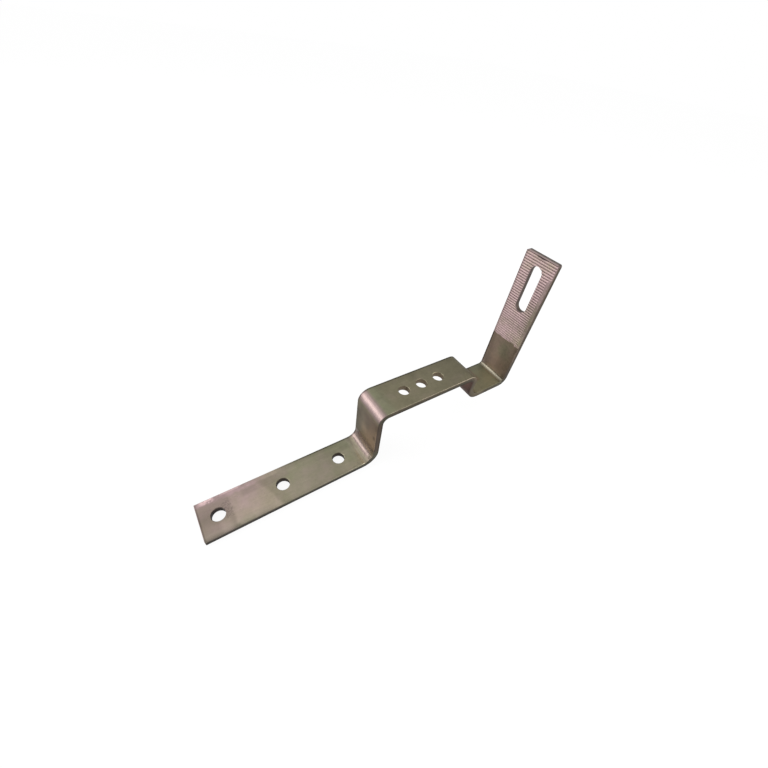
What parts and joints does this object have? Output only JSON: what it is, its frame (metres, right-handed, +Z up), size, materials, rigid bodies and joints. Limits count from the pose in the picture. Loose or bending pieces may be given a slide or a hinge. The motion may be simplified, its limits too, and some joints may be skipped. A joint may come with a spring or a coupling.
{
  "type": "solar roof hook",
  "caption": "Roof hook bent from flat stainless bar: a base with screw holes, a raised bridge, a ledge and an upright slotted arm with a serrated face.",
  "frame": {"origin": "middle screw hole of the base, on the base's underside", "axes": "+X runs along the base towards the arm, +Y across the bar, +Z up, away from the rafter"},
  "size_m": [0.281, 0.03, 0.15],
  "materials": {
    "bent_bar": "mill-finished stainless flat bar, dulled to a warm olive grey, with a pressed serration on the arm"
  },
  "bodies": {
    "root": {"roof_hook": "bent_bar"}
  },
  "joints": []
}
